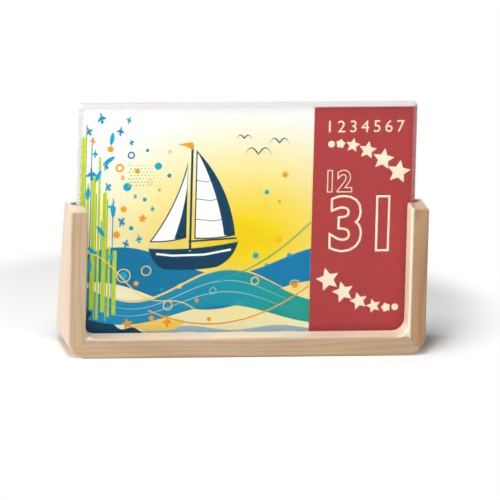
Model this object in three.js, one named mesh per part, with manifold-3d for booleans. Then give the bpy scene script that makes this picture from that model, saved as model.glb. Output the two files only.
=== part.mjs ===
// Desk calendar: a wooden U-frame of three mitred pieces, with a groove that holds a stack of loose cards
// between two clear sheets. Millimetres, +Z up. The front faces -Y, and the origin is the middle of the
// footprint, on the surface that the frame stands on.

import * as THREE from "three";
import { mergeVertices } from "three/addons/utils/BufferGeometryUtils.js";
import Module from "manifold-3d";

// Cards and sheets
const cardWidth = 210; // A5, lying on its long side
const cardHeight = 148;
const cardThickness = 0.25; // coated board of 250 g/m2
const cardCorner = 1.5;
const monthCards = 12;
const frontMargin = 0.4; // how far the front sheet stands out past the cards, at the sides and the top
const frontThickness = 2.5;
const frontCorner = 2.2;
const bevelWidth = 2.6; // round the front of the front sheet
const bevelDepth = 1.5;
const bevelCorner = 0.5; // where the bevel meets the flat face
const backThickness = 1; // the back sheet has the outline of a card
const backArris = 0.2;
const stackGap = 0.07; // air between two cards
const sheetGap = 0.2; // air between a clear sheet and the card next to it

// Frame, seen from the front
const uprightOverlap = 4.45; // how far an upright's inner face covers the edge of a card
const uprightWidth = 11;
const uprightHeight = 93;
const railHeight = 12;
const outerCorner = 12;
const innerCorner = 8;
const topCorner = 2;
const edgeRound = 1.4; // sanded edge round the front and the back

// Frame, seen from the side
const lipDepth = 17; // wood in front of the groove
const grooveSideClearance = 0.3; // in front of and behind the stack
const rearWallDepth = 3; // wood behind the groove, at the top of an upright
const baseDepth = 54;

// Groove
const grooveDepth = 4.5; // below the top of the rail
const grooveEndClearance = 3.4; // past the edges of the front sheet, whose ends are half round
const seatGap = 0.2; // under the cards and sheets

// Corner joints
const glueLine = 0.06;
const dowelDiameter = 4;
const dowelLength = 12;
const dowelClearance = 0.15; // all round a dowel, for the glue
const rearDowelSetback = 11; // from the back of the groove to the axis of the dowel behind it

// Sizes that follow
const stackDepth =
  frontThickness +
  backThickness +
  2 * sheetGap +
  (monthCards + 1) * cardThickness +
  monthCards * stackGap;
const grooveWidth = stackDepth + 2 * grooveSideClearance;
const topDepth = lipDepth + grooveWidth + rearWallDepth;
const frameWidth = cardWidth - 2 * uprightOverlap + 2 * uprightWidth;
const frameFront = -baseDepth / 2;
const grooveFront = frameFront + lipDepth;
const grooveBack = grooveFront + grooveWidth;
const grooveFloor = railHeight - grooveDepth;
const frontWidth = cardWidth + 2 * frontMargin;
const frontHeight = cardHeight + frontMargin;
const grooveHalfLength = frontWidth / 2 + grooveEndClearance;
const seatHeight = grooveFloor + seatGap;

const arcSteps = 6; // half the facets of a quarter turn
const roundSteps = 3;

const beech = { color: 0xd6b48c, roughness: 0.55, metalness: 0 };
const dowelBeech = { color: 0xc49a6c, roughness: 0.7, metalness: 0 };
const board = { color: 0xf6f3ea, roughness: 0.5, metalness: 0 };
const printedBoard = { color: 0xb04347, roughness: 0.4, metalness: 0 };
const clearAcrylic = {
  color: 0xe8eef0,
  roughness: 0.05,
  metalness: 0,
  transparent: true,
  opacity: 0.35,
};

const wasm = await Module();
wasm.setup();

// A closed geometry as a solid that can be cut and joined.
function solidOf(geometry) {
  const bare = geometry.clone();
  bare.deleteAttribute("normal");
  bare.deleteAttribute("uv");
  const merged = mergeVertices(bare, 1e-4);
  return new wasm.Manifold(
    new wasm.Mesh({
      numProp: 3,
      vertProperties: merged.getAttribute("position").array,
      triVerts: new Uint32Array(merged.index.array),
    }),
  );
}

function geometryOf(solid) {
  const { vertProperties, triVerts } = solid.getMesh();
  const geometry = new THREE.BufferGeometry();
  geometry.setAttribute(
    "position",
    new THREE.BufferAttribute(vertProperties, 3),
  );
  geometry.setIndex(new THREE.BufferAttribute(triVerts, 1));
  geometry.computeVertexNormals();
  return geometry;
}

function addPiece(group, name, geometry, finish) {
  const mesh = new THREE.Mesh(
    geometry,
    new THREE.MeshStandardMaterial(finish),
  );
  mesh.name = name;
  group.add(mesh);
  return mesh;
}

// A rectangle with round corners, from its lower left corner.
function roundedRectangle(left, low, width, height, radius) {
  const right = left + width;
  const high = low + height;
  const shape = new THREE.Shape();
  shape.moveTo(left + radius, low);
  shape.lineTo(right - radius, low);
  shape.absarc(right - radius, low + radius, radius, -Math.PI / 2, 0);
  shape.lineTo(right, high - radius);
  shape.absarc(right - radius, high - radius, radius, 0, Math.PI / 2);
  shape.lineTo(left + radius, high);
  shape.absarc(left + radius, high - radius, radius, Math.PI / 2, Math.PI);
  shape.lineTo(left, low + radius);
  shape.absarc(left + radius, low + radius, radius, Math.PI, 1.5 * Math.PI);
  return shape;
}

// The U that the frame shows from the front.
function frameOutline() {
  const half = frameWidth / 2;
  const inner = half - uprightWidth;
  const quarter = Math.PI / 2;
  const shape = new THREE.Shape();
  shape.moveTo(-half + outerCorner, 0);
  shape.lineTo(half - outerCorner, 0);
  shape.absarc(half - outerCorner, outerCorner, outerCorner, -quarter, 0);
  shape.lineTo(half, uprightHeight - topCorner);
  shape.absarc(half - topCorner, uprightHeight - topCorner, topCorner, 0, quarter);
  shape.lineTo(inner + topCorner, uprightHeight);
  shape.absarc(inner + topCorner, uprightHeight - topCorner, topCorner, quarter, Math.PI);
  shape.lineTo(inner, railHeight + innerCorner);
  shape.absarc(inner - innerCorner, railHeight + innerCorner, innerCorner, 0, -quarter, true);
  shape.lineTo(-inner + innerCorner, railHeight);
  shape.absarc(-inner + innerCorner, railHeight + innerCorner, innerCorner, -quarter, -Math.PI, true);
  shape.lineTo(-inner, uprightHeight - topCorner);
  shape.absarc(-inner - topCorner, uprightHeight - topCorner, topCorner, 0, quarter);
  shape.lineTo(-half + topCorner, uprightHeight);
  shape.absarc(-half + topCorner, uprightHeight - topCorner, topCorner, quarter, Math.PI);
  shape.lineTo(-half, outerCorner);
  shape.absarc(-half + outerCorner, outerCorner, outerCorner, Math.PI, 3 * quarter);
  return shape;
}

// The frame is deepest at its foot, just above the sanded edge, and its back leans forward from there
// to the top of the uprights.
function depthAt(height) {
  const rise = (height - edgeRound) / (uprightHeight - edgeRound);
  return baseDepth + (topDepth - baseDepth) * rise;
}

// A U-shaped bar with sanded edges, whose back is moved onto the leaning plane.
function frameBlank() {
  const geometry = new THREE.ExtrudeGeometry(frameOutline(), {
    depth: baseDepth - 2 * edgeRound,
    curveSegments: arcSteps,
    bevelThickness: edgeRound,
    bevelSize: edgeRound,
    bevelOffset: -edgeRound,
    bevelSegments: roundSteps,
  });
  geometry.rotateX(Math.PI / 2);
  geometry.translate(0, frameFront + baseDepth - edgeRound, 0);
  const position = geometry.getAttribute("position");
  for (let i = 0; i < position.count; i += 1) {
    if (position.getY(i) > 0) {
      const height = position.getZ(i);
      position.setY(i, position.getY(i) - baseDepth + depthAt(height));
    }
  }
  return solidOf(geometry);
}

// The groove runs down both uprights and along the rail, and its ends are as round as its cutter.
function grooveCutter() {
  const plan = roundedRectangle(
    -grooveHalfLength,
    grooveFront,
    2 * grooveHalfLength,
    grooveWidth,
    grooveWidth / 2,
  );
  const geometry = new THREE.ExtrudeGeometry(plan, {
    depth: uprightHeight,
    curveSegments: arcSteps,
    bevelEnabled: false,
  });
  geometry.translate(0, 0, grooveFloor);
  return solidOf(geometry);
}

// The mitre runs from the sharp outer corner of the frame to its sharp inner corner.
const mitre = {
  outer: new THREE.Vector2(frameWidth / 2, 0),
  along: new THREE.Vector2(-uprightWidth, railHeight).normalize(),
};
mitre.across = new THREE.Vector2(mitre.along.y, -mitre.along.x);

// A prism that holds everything on the rail's side of both mitres, or on one upright's side of its mitre.
function railPrism() {
  const reach = frameWidth / 2;
  const start = mitre.outer
    .clone()
    .addScaledVector(mitre.across, -glueLine / 2);
  const low = start.clone().addScaledVector(mitre.along, -railHeight);
  const high = start.clone().addScaledVector(mitre.along, reach);
  return prism([
    [-low.x, low.y],
    [low.x, low.y],
    [high.x, high.y],
    [-high.x, high.y],
  ]);
}

function uprightPrism(side) {
  const reach = 2 * uprightHeight;
  const start = mitre.outer.clone().addScaledVector(mitre.across, glueLine / 2);
  const low = start.clone().addScaledVector(mitre.along, -railHeight);
  const high = start.clone().addScaledVector(mitre.along, reach);
  const points = [
    [side * low.x, low.y],
    [side * (low.x + frameWidth), low.y],
    [side * (low.x + frameWidth), high.y],
    [side * high.x, high.y],
  ];
  return prism(side > 0 ? points : points.reverse());
}

function prism(points) {
  const shape = new THREE.Shape(points.map(([x, z]) => new THREE.Vector2(x, z)));
  const geometry = new THREE.ExtrudeGeometry(shape, {
    depth: 2 * baseDepth,
    bevelEnabled: false,
  });
  geometry.rotateX(Math.PI / 2);
  geometry.translate(0, baseDepth, 0);
  return solidOf(geometry);
}

// The middle of a mitre, between the round outer and inner corners.
function mitreMiddle() {
  const diagonal = Math.SQRT1_2;
  const outerEdge = new THREE.Vector2(
    frameWidth / 2 - outerCorner * (1 - diagonal),
    outerCorner * (1 - diagonal),
  );
  const innerEdge = new THREE.Vector2(
    frameWidth / 2 - uprightWidth - innerCorner * (1 - diagonal),
    railHeight + innerCorner * (1 - diagonal),
  );
  return outerEdge.lerp(innerEdge, 0.5);
}

// Two dowels cross each mitre: one in the lip, one behind the groove.
const dowels = [
  { place: "front", y: (frameFront + grooveFront) / 2 },
  { place: "rear", y: grooveBack + rearDowelSetback },
].flatMap(({ place, y }) =>
  [
    { hand: "left", side: -1 },
    { hand: "right", side: 1 },
  ].map(({ hand, side }) => ({ name: `${hand}_${place}_dowel`, side, y })),
);

function dowelRod({ side, y }, clearance) {
  const radius = dowelDiameter / 2 + clearance;
  const middle = mitreMiddle();
  const rod = new THREE.CylinderGeometry(
    radius,
    radius,
    dowelLength + 2 * clearance,
    4 * arcSteps,
  );
  const axis = new THREE.Vector3(side * mitre.across.x, 0, mitre.across.y);
  rod.applyQuaternion(
    new THREE.Quaternion().setFromUnitVectors(new THREE.Vector3(0, 1, 0), axis),
  );
  rod.translate(side * middle.x, y, middle.y);
  return rod;
}

function buildFrame() {
  let blank = frameBlank().subtract(grooveCutter());
  dowels.forEach((dowel) => {
    blank = blank.subtract(solidOf(dowelRod(dowel, dowelClearance)));
  });
  const frame = new THREE.Group();
  addPiece(frame, "bottom_rail", geometryOf(blank.intersect(railPrism())), beech);
  addPiece(frame, "left_upright", geometryOf(blank.intersect(uprightPrism(-1))), beech);
  addPiece(frame, "right_upright", geometryOf(blank.intersect(uprightPrism(1))), beech);
  dowels.forEach((dowel) => {
    addPiece(frame, dowel.name, dowelRod(dowel, 0), dowelBeech);
  });
  return frame;
}

// A flat piece that stands in the groove, with its front face at the group's own y = 0.
function standingPlate(width, height, thickness, corner, arris) {
  const outline = roundedRectangle(-width / 2, 0, width, height, corner);
  const geometry = new THREE.ExtrudeGeometry(outline, {
    depth: thickness - 2 * arris,
    curveSegments: roundSteps,
    bevelEnabled: arris > 0,
    bevelThickness: arris,
    bevelSize: arris,
    bevelOffset: -arris,
    bevelSegments: 1,
  });
  geometry.rotateX(Math.PI / 2);
  geometry.translate(0, thickness - arris, 0);
  return geometry;
}

// The front sheet: a bevel runs round its front face.
function bevelledPlate() {
  const layers = [
    { inset: 0, corner: frontCorner, depth: frontThickness - bevelDepth },
    { inset: bevelWidth, corner: bevelCorner, depth: frontThickness },
  ].map(({ inset, corner, depth }) => {
    const outline = roundedRectangle(
      inset - frontWidth / 2,
      inset,
      frontWidth - 2 * inset,
      frontHeight - 2 * inset,
      corner,
    );
    const geometry = new THREE.ExtrudeGeometry(outline, {
      depth,
      curveSegments: roundSteps,
      bevelEnabled: false,
    });
    geometry.rotateX(Math.PI / 2);
    geometry.translate(0, frontThickness, 0);
    return solidOf(geometry);
  });
  return geometryOf(wasm.Manifold.hull(layers));
}

// From front to back: clear sheet, cover card, the month cards, clear sheet.
function buildStack() {
  const stack = new THREE.Group();
  stack.position.set(0, grooveFront + grooveSideClearance, seatHeight);
  const card = standingPlate(cardWidth, cardHeight, cardThickness, cardCorner, 0);
  const backSheet = standingPlate(
    cardWidth,
    cardHeight,
    backThickness,
    cardCorner,
    backArris,
  );
  const firstCard = frontThickness + sheetGap;
  const cardPitch = cardThickness + stackGap;
  addPiece(stack, "clear_front_sheet", bevelledPlate(), clearAcrylic);
  addPiece(stack, "cover_card", card, printedBoard).position.y = firstCard;
  for (let month = 1; month <= monthCards; month += 1) {
    const name = `month_card_${String(month).padStart(2, "0")}`;
    addPiece(stack, name, card, board).position.y = firstCard + month * cardPitch;
  }
  addPiece(stack, "clear_back_sheet", backSheet, clearAcrylic).position.y =
    stackDepth - backThickness;
  return stack;
}

const calendar = new THREE.Group();
calendar.name = "desk_calendar";
calendar.add(buildFrame(), buildStack());

export default calendar;
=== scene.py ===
# Looks of a desk calendar: a beech stand, two clear sheets, and a stack of printed cards between them.
import math

import bmesh
import bpy
from mathutils import Matrix, Vector


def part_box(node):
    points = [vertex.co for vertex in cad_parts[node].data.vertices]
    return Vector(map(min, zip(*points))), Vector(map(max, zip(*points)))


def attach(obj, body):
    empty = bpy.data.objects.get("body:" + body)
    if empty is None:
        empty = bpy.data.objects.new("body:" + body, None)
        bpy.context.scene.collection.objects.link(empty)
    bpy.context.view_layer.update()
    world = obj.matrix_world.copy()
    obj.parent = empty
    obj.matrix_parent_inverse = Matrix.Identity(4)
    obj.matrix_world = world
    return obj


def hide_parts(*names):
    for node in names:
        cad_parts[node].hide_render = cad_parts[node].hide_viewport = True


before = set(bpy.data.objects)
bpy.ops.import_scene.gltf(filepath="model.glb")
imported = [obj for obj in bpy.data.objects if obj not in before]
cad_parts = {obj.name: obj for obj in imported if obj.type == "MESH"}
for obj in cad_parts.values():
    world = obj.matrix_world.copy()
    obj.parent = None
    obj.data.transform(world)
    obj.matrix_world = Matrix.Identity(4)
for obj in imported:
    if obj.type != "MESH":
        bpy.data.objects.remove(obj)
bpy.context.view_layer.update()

mm = 0.001
hair = 1e-5  # metres; two places that lie closer than this count as one
scene = bpy.context.scene
scene.view_settings.view_transform = "Standard"


# Small tools that everything below uses
def linearColour(hexCode):
    # sRGB hex to the linear numbers that a shader takes
    parts = [int(hexCode[i : i + 2], 16) / 255 for i in (1, 3, 5)]
    return [c / 12.92 if c <= 0.04045 else ((c + 0.055) / 1.055) ** 2.4 for c in parts] + [1]


def setNode(node, settings):
    # a socket is linked in, a value goes to the input of that name or number, and the rest to the node
    for name, value in settings.items():
        if isinstance(value, bpy.types.NodeSocket):
            node.id_data.links.new(value, node.inputs[name])
        elif isinstance(name, int) or name in node.inputs:
            node.inputs[name].default_value = value
        else:
            setattr(node, name, value)


def addNode(tree, kind, settings=None):
    node = tree.nodes.new("ShaderNode" + kind)
    setNode(node, settings or {})
    return node


def newMaterial(name):
    material = bpy.data.materials.new(name)
    material.use_nodes = True
    tree = material.node_tree
    return material, tree, tree.nodes["Principled BSDF"]


def coverWith(piece, material):
    piece.data.materials.clear()
    piece.data.materials.append(material)


def deselectAll():
    if bpy.context.object and bpy.context.object.mode != "OBJECT":
        bpy.ops.object.mode_set(mode="OBJECT")
    bpy.ops.object.select_all(action="DESELECT")


def makeActive(piece):
    deselectAll()
    piece.select_set(True)
    bpy.context.view_layer.objects.active = piece


def applyPlace(piece):
    makeActive(piece)
    bpy.ops.object.transform_apply(location=True, rotation=True, scale=True)


def applyModifier(piece, kind, **settings):
    makeActive(piece)
    modifier = piece.modifiers.new(kind.title(), kind)
    for name, value in settings.items():
        setattr(modifier, name, value)
    bpy.ops.object.modifier_apply(modifier=modifier.name)


def boxPiece(name, low, high):
    deselectAll()
    bpy.ops.mesh.primitive_cube_add(size=1, location=(low + high) / 2)
    piece = bpy.context.object
    piece.name = name
    piece.scale = high - low
    applyPlace(piece)
    return piece


def selectIn(piece, kind, wanted):
    # edit mode: selects the edges or faces that wanted() says, and nothing else
    mode = {"edges": "EDGE", "faces": "FACE"}[kind]
    bpy.ops.mesh.select_mode(type=mode)
    bpy.ops.mesh.select_all(action="DESELECT")
    mesh = bmesh.from_edit_mesh(piece.data)
    for item in getattr(mesh, kind):
        if wanted(item):
            item.select_set(True)
    mesh.select_flush_mode()
    bmesh.update_edit_mesh(piece.data)


def editPiece(piece):
    makeActive(piece)
    bpy.ops.object.mode_set(mode="EDIT")


def leaveEdit():
    bpy.ops.object.mode_set(mode="OBJECT")


def roundEdges(piece, width, steps, above):
    # rounds the edges that turn by more than "above" degrees
    angle = math.radians(above)
    applyModifier(piece, "BEVEL", width=width, segments=steps, limit_method="ANGLE", angle_limit=angle)


def softenShading(piece, degrees):
    makeActive(piece)
    bpy.ops.object.shade_smooth_by_angle(angle=math.radians(degrees))
    applyModifier(piece, "WEIGHTED_NORMAL", mode="FACE_AREA", weight=50, keep_sharp=True)


def joinPieces(name, pieces):
    deselectAll()
    for piece in pieces:
        piece.select_set(True)
    bpy.context.view_layer.objects.active = pieces[0]
    if len(pieces) > 1:
        bpy.ops.object.join()
    pieces[0].name = name
    return pieces[0]


def runsAlongY(edge):
    a, b = (v.co for v in edge.verts)
    return abs(a.x - b.x) < hair and abs(a.z - b.z) < hair


def directionOf(place):
    # from the object to a camera or lamp; azimuth 0 is straight in front, and the left is negative
    azimuth, elevation = math.radians(place["azimuth"]), math.radians(place["elevation"])
    flat = math.cos(elevation)
    return Vector((math.sin(azimuth) * flat, -math.cos(azimuth) * flat, math.sin(elevation)))


# Camera: a long lens far away, a little to the left of the object and above it; the target is in mm
cameraPlace = {
    "azimuth": -9.2,
    "elevation": 13.05,
    "roll": 1.55,
    "lens": 1168.5,
    "sensor": 36,
    "distance": 10,
    "clipEnd": 30,
    "target": (3.5, -7, 63.13),
}


def makeCamera(place):
    back = directionOf(place)
    azimuth, roll = math.radians(place["azimuth"]), math.radians(place["roll"])
    level = Vector((math.cos(azimuth), math.sin(azimuth), 0))
    right = level * math.cos(roll) + back.cross(level) * math.sin(roll)
    data = bpy.data.cameras.new("Camera")
    data.lens = place["lens"]
    data.sensor_width = place["sensor"]
    data.clip_end = place["clipEnd"]
    camera = bpy.data.objects.new("Camera", data)
    scene.collection.objects.link(camera)
    turn = Matrix((right, back.cross(right), back)).transposed().to_4x4()
    eye = Vector(place["target"]) * mm + back * place["distance"]
    camera.matrix_world = Matrix.Translation(eye) @ turn
    scene.camera = camera


# Light: a key from the front left, a low panel at the left for the side face, a box overhead for the
# tops, and an even sky. Sizes are in metres, powers in watts.
lamps = {
    "key": {"azimuth": -18, "elevation": 44, "distance": 1.5, "size": 0.36, "power": 5.8},
    "left panel": {"azimuth": -86, "elevation": 13, "distance": 1.1, "size": 0.5, "power": 8.7},
    "overhead box": {"azimuth": -18, "elevation": 70, "distance": 1.4, "size": 0.5, "power": 10.9},
}
lampTarget = (0, 0, 0.07)
sky = {"ambient": 0.1, "seen": 1.0}  # the light that it gives, and the white that the camera sees


def makeLamps():
    for name, lamp in lamps.items():
        direction = directionOf(lamp)
        data = bpy.data.lights.new(name, "AREA")
        data.shape = "DISK"
        data.size = lamp["size"]
        data.energy = lamp["power"]
        light = bpy.data.objects.new(name, data)
        light.location = Vector(lampTarget) + direction * lamp["distance"]
        light.rotation_euler = direction.to_track_quat("Z", "Y").to_euler()
        scene.collection.objects.link(light)


def directView(tree):
    # 1 where the camera sees a thing itself, or in a mirror or a clear sheet; 0 for light on the object
    ray = addNode(tree, "LightPath").outputs
    through = addNode(tree, "Math", {
        "operation": "MAXIMUM", 0: ray["Is Glossy Ray"], 1: ray["Is Transmission Ray"],
    })
    early = addNode(tree, "Math", {"operation": "LESS_THAN", 0: ray["Diffuse Depth"], 1: 0.5})
    mirrored = addNode(tree, "Math", {
        "operation": "MULTIPLY", 0: through.outputs[0], 1: early.outputs[0],
    })
    seen = addNode(tree, "Math", {
        "operation": "MAXIMUM", 0: ray["Is Camera Ray"], 1: mirrored.outputs[0],
    })
    return seen.outputs[0]


def makeSky():
    world = bpy.data.worlds.new("Sky")
    world.use_nodes = True
    scene.world = world
    tree = world.node_tree
    strength = addNode(tree, "MapRange", {
        "To Min": sky["ambient"], "To Max": sky["seen"], "Value": directView(tree),
    })
    white = linearColour("#FFFFFF")
    setNode(tree.nodes["Background"], {"Color": white, "Strength": strength.outputs["Result"]})


# Floor: pale matt paper, which takes a soft shadow and fades to plain white away from the object.
# Places are in metres.
floorLook = {
    "size": 16,
    "colour": "#FDFDFC",
    "roughness": 0.9,
    "shine": 0.1,
    "middle": (0, 0.1, 0),
    "whiteFrom": 0.147,
    "whiteAt": 0.192,
}


def makeFloor():
    look = floorLook
    deselectAll()
    bpy.ops.mesh.primitive_plane_add(size=look["size"], location=(0, 0, 0))
    floor = bpy.context.object
    floor.name = "floor"
    material, tree, shader = newMaterial("matt paper floor")
    setNode(shader, {
        "Base Color": linearColour(look["colour"]),
        "Roughness": look["roughness"],
        "Specular IOR Level": look["shine"],
    })
    place = addNode(tree, "TexCoord").outputs["Object"]
    away = addNode(tree, "VectorMath", {"operation": "DISTANCE", 0: place, 1: look["middle"]})
    fade = addNode(tree, "MapRange", {
        "interpolation_type": "SMOOTHSTEP",
        "From Min": look["whiteFrom"],
        "From Max": look["whiteAt"],
        "Value": away.outputs["Value"],
    })
    share = addNode(tree, "Math", {
        "operation": "MULTIPLY", 0: fade.outputs["Result"], 1: directView(tree),
    })
    glow = addNode(tree, "Emission", {"Color": linearColour("#FFFFFF"), "Strength": 1})
    mix = addNode(tree, "MixShader", {0: share.outputs[0], 1: shader.outputs[0], 2: glow.outputs[0]})
    setNode(tree.nodes["Material Output"], {"Surface": mix.outputs[0]})
    floor.data.materials.append(material)


makeCamera(cameraPlace)
makeLamps()
makeSky()
makeFloor()
print("camera, light and floor are in place")


# Beech: pale and straight-grained, with short dark flecks; sanded and given a thin matt lacquer, so
# that it shines only at a low angle. The fibres are drawn wider than real ones, to show at all.
beechLook = {
    # Of these pairs, all but pale are painted light and shade: the three paler ones stand in for faces
    # lit from the left or from above, and the darker last one is painted shade for faces further from
    # the lamps
    "paintedSideLight": ("#FFF6E2", "#FBE9CC"),
    "cream": ("#F9EAD9", "#EDD9C0"),
    "top": ("#E9D7C6", "#DBC7B0"),
    "pale": ("#D2B592", "#BA9975"),
    "paintedShade": ("#C99D70", "#A2754B"),
    "fleck": "#A98660",
    # width over the grain and length along it in mm, then detail and roughness
    "drift": (22, 190, 2, 0.5),
    "patches": (14, 60, 1, 0.5),
    "fibres": (0.4, 16, 3, 0.6),
    "flecks": (0.45, 3.5, 1, 0.5),
    # growth rings: their spacing and run in mm, how far they slant and wander, and how dark the wood is
    # from one ring to the next
    "ringSpacing": 3.4,
    "ringRun": 400,
    "ringSlant": 0.35,
    "ringWander": 5.0,
    "ringStops": ((0.0, 0.35), (0.12, 0.1), (0.6, 0.22), (0.92, 0.62), (1.0, 0.35)),
    "ringShare": 0.95,
    "fibreShare": 0.5,
    "toneFrom": 0.67,
    "toneTo": 1.37,
    "toneSwing": 0.4,
    "fleckFrom": 0.62,
    "fleckFull": 0.74,
    "fleckShare": 0.4,
    "ior": 1.5,
    "smoothest": 0.36,
    "roughest": 0.5,
    "fibreStrength": 0.35,
    "fibreDepth": 0.05,
    "lacquer": 0.85,
    "lacquerRoughness": 0.33,
}


def makeBeech(name, grain, shift, tone, colour, paintedShading=None):
    # grain is the axis that the fibres follow; shift moves the pattern, so that no two pieces match;
    # the last argument is painted light and shade: it says to what colour the wood turns, along which
    # axis, and between which places in mm
    look = beechLook
    material, tree, shader = newMaterial(name)
    place = addNode(tree, "TexCoord").outputs["Object"]

    def stretched(across, along):
        # a coordinate that grows by 1 in "across" mm over the grain and in "along" mm with it
        scale = [1 / (along * mm) if axis == grain else 1 / (across * mm) for axis in "xyz"]
        mapping = addNode(tree, "Mapping", {"Location": shift, "Scale": scale, "Vector": place})
        return mapping.outputs["Vector"]

    noise = {}
    for kind in ("drift", "patches", "fibres", "flecks"):
        across, along, detail, roughness = look[kind]
        node = addNode(tree, "TexNoise", {
            "Scale": 1,
            "Detail": detail,
            "Roughness": roughness,
            "Vector": stretched(across, along),
        })
        noise[kind] = node.outputs["Fac"]

    split = addNode(tree, "SeparateXYZ", {"Vector": stretched(look["ringSpacing"], look["ringRun"])})
    first, second = (split.outputs[axis.upper()] for axis in "xyz" if axis != grain)
    slanted = addNode(tree, "Math", {
        "operation": "MULTIPLY_ADD", 0: first, 1: look["ringSlant"], 2: second,
    })
    rings = addNode(tree, "Math", {
        "operation": "MULTIPLY_ADD",
        0: noise["drift"],
        1: look["ringWander"],
        2: slanted.outputs[0],
    })
    within = addNode(tree, "Math", {"operation": "FRACT", 0: rings.outputs[0]})
    lateWood = addNode(tree, "ValToRGB", {"Fac": within.outputs[0]})
    ramp, stops = lateWood.color_ramp, look["ringStops"]
    for element, (position, level) in zip(ramp.elements, (stops[0], stops[-1])):
        element.position, element.color = position, (level, level, level, 1)
    for position, level in stops[1:-1]:
        ramp.elements.new(position).color = (level, level, level, 1)

    banded = addNode(tree, "Math", {
        "operation": "MULTIPLY_ADD",
        0: lateWood.outputs["Color"],
        1: look["ringShare"],
        2: noise["patches"],
    })
    depth = addNode(tree, "Math", {
        "operation": "MULTIPLY_ADD",
        0: noise["fibres"],
        1: look["fibreShare"],
        2: banded.outputs[0],
    })
    toneShare = addNode(tree, "MapRange", {
        "From Min": look["toneFrom"],
        "From Max": look["toneTo"],
        "To Min": tone - look["toneSwing"],
        "To Max": tone + look["toneSwing"],
        "Value": depth.outputs[0],
    })
    bodies = []
    for kind in (colour, paintedShading["colour"]) if paintedShading else (colour,):
        light, dark = (linearColour(hexCode) for hexCode in look[kind])
        body = addNode(tree, "Mix", {
            "data_type": "RGBA", 0: toneShare.outputs["Result"], 6: light, 7: dark,
        })
        bodies.append(body.outputs[2])
    body = bodies[0]
    # painted light and shade: a second colour blended in along one axis
    if paintedShading:
        across = addNode(tree, "SeparateXYZ", {"Vector": place})
        paintedBlend = addNode(tree, "MapRange", {
            "interpolation_type": "SMOOTHSTEP",
            "From Min": paintedShading["from"] * mm,
            "From Max": paintedShading["to"] * mm,
            "Value": across.outputs[paintedShading["axis"]],
        })
        body = addNode(tree, "Mix", {
            "data_type": "RGBA",
            0: paintedBlend.outputs["Result"],
            6: bodies[0],
            7: bodies[1],
        }).outputs[2]
    fleckShare = addNode(tree, "MapRange", {
        "From Min": look["fleckFrom"],
        "From Max": look["fleckFull"],
        "To Max": look["fleckShare"],
        "Value": noise["flecks"],
    })
    flecked = addNode(tree, "Mix", {
        "data_type": "RGBA",
        0: fleckShare.outputs["Result"],
        6: body,
        7: linearColour(look["fleck"]),
    })
    rough = addNode(tree, "MapRange", {
        "To Min": look["smoothest"], "To Max": look["roughest"], "Value": noise["fibres"],
    })
    bump = addNode(tree, "Bump", {
        "Strength": look["fibreStrength"],
        "Distance": look["fibreDepth"] * mm,
        "Height": noise["fibres"],
    })
    setNode(shader, {
        "Base Color": flecked.outputs[2],
        "Roughness": rough.outputs["Result"],
        "Normal": bump.outputs["Normal"],
        "IOR": look["ior"],
        "Coat Weight": look["lacquer"],
        "Coat Roughness": look["lacquerRoughness"],
    })
    return material


# The stand: one U-shaped blank, grooved and then cut along both mitres; in mm and degrees
standShape = {
    "uprightWidth": 11,
    "railHeight": 12,
    "outerCorner": 12,
    "innerCorner": 8,
    "topCorner": 2,
    "cornerSteps": 16,
    "edgeRound": 1.4,
    "roundSteps": 5,
    "roundAbove": 40,
    "leanFrom": 1.12,
    "rearWall": 3,
    "grooveSide": 0.3,
    "grooveEnd": 3.4,
    "grooveRise": 20,
    "grooveRound": 0.499,
    "seatGap": 0.2,
    "glueLine": 0.06,
    "dowelClearance": 0.15,
    "dowelSides": 32,
    "smoothBelow": 35,
}

# Painted light and shade: the tops of the rail and of the left upright are painted paler, as if lit
# from above, and the inner side of the right upright is painted paler, as if lit from the left; the
# rest of the right upright is painted darker, as painted shade
standWood = {
    "bottom_rail": {
        "grain": "x",
        "shift": (3.1, 7.7, 1.3),
        "tone": 0.68,
        "colour": "pale",
        "paintedShading": {"colour": "cream", "axis": "Z", "from": 11.75, "to": 12},
    },
    "left_upright": {
        "grain": "z",
        "shift": (11.2, 2.4, 5.8),
        "tone": 0.42,
        "colour": "pale",
        "paintedShading": {"colour": "top", "axis": "Z", "from": 92.6, "to": 93},
    },
    "right_upright": {
        "grain": "z",
        "shift": (4.6, 9.1, 8.2),
        "tone": 0.5,
        "colour": "paintedSideLight",
        "paintedShading": {"colour": "paintedShade", "axis": "X", "from": 100.7, "to": 103},
    },
}


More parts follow.
